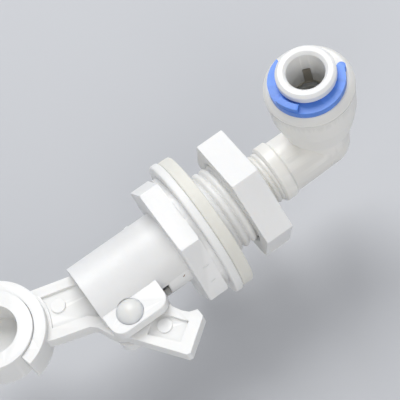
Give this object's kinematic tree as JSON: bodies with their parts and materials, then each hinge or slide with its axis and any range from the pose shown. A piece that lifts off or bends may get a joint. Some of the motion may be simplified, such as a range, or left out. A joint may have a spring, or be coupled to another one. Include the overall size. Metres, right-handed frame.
{
  "type": "float valve",
  "caption": "Small plastic float valve: push-fit inlet elbow, threaded wall body with nut and washers, cam lever with swivelling float arm and hollow ball.",
  "frame": {"origin": "centre of the hex flange's seating shoulder, on the axis of the wall thread", "axes": "+X along the wall thread towards the inlet elbow, +Z along the lever's pivot pin and the tube port, +Y the side the float arm rises to; the valve lies on its side, as pictured. In use it is turned so +Y points up"},
  "size_m": [0.1412, 0.0452, 0.0451],
  "materials": {
    "white_body": "satin moulded",
    "elbow_plastic": "slightly warm, smooth",
    "washer_plastic": "matte",
    "gasket_soft": "soft, tan",
    "seal_rubber": "black",
    "clip_blue": "smooth blue",
    "steel": "stainless",
    "float_plastic": "smooth"
  },
  "bodies": {
    "valve": {"valve_body": "white_body", "nozzle_seat": "washer_plastic", "stem_washer": "seal_rubber", "pivot_pin": "white_body", "pin_clip": "white_body"},
    "washer": {"hard_washer": "washer_plastic"},
    "gasket": {"soft_gasket": "gasket_soft"},
    "nut": {"mounting_nut": "white_body"},
    "plunger": {"plunger": "washer_plastic", "seal_disc": "seal_rubber"},
    "lever": {"lever": "white_body"},
    "float": {"float_arm": "white_body", "float_lock_nut": "white_body", "float_near_half": "float_plastic", "float_far_half": "float_plastic", "float_weld_ring": "float_plastic"},
    "elbow": {"elbow_body": "elbow_plastic", "tube_o_ring": "seal_rubber", "spacer_ring": "washer_plastic", "port_cap": "elbow_plastic"},
    "collet": {"collet": "white_body", "grab_ring": "steel"},
    "clip": {"lock_clip": "clip_blue"}
  },
  "joints": [
    {"name": "lever_pivot", "type": "hinge", "parent": "valve", "child": "lever", "pos_m": [-0.017, -0.0077, 0], "axis": [0, 0, 1], "range_deg": [-2, 33]},
    {"name": "plunger_slide", "type": "slide", "parent": "valve", "child": "plunger", "axis": [-1, 0, 0], "range_m": [-0.00027, 0.00443]},
    {"name": "float_arm_angle", "type": "hinge", "parent": "lever", "child": "float", "pos_m": [-0.0377, 0.0046, 0], "axis": [0, 0, 1], "range_deg": [-25, 60]},
    {"name": "washer_slide", "type": "slide", "parent": "valve", "child": "washer", "axis": [1, 0, 0], "range_m": [0, 0.002]},
    {"name": "gasket_slide", "type": "slide", "parent": "washer", "child": "gasket", "axis": [1, 0, 0], "range_m": [0, 0.0021]},
    {"name": "nut_turn", "type": "hinge", "parent": "valve", "child": "nut", "pos_m": [0.011, 0, 0], "axis": [1, 0, 0], "continuous": true},
    {"name": "elbow_turn", "type": "hinge", "parent": "valve", "child": "elbow", "pos_m": [0.0278, 0, 0], "axis": [1, 0, 0], "range_deg": [-90, 90]},
    {"name": "collet_play", "type": "slide", "parent": "elbow", "child": "collet", "axis": [0, 0, 1], "range_m": [0, 0.0003]},
    {"name": "clip_pull", "type": "slide", "parent": "elbow", "child": "clip", "axis": [-0.7547, -0.6561, 0], "range_m": [0, 0.014]}
  ],
  "couplings": [
    {"joint": "plunger_slide", "follows": "lever_pivot", "m_per_rad": 0.0077}
  ]
}
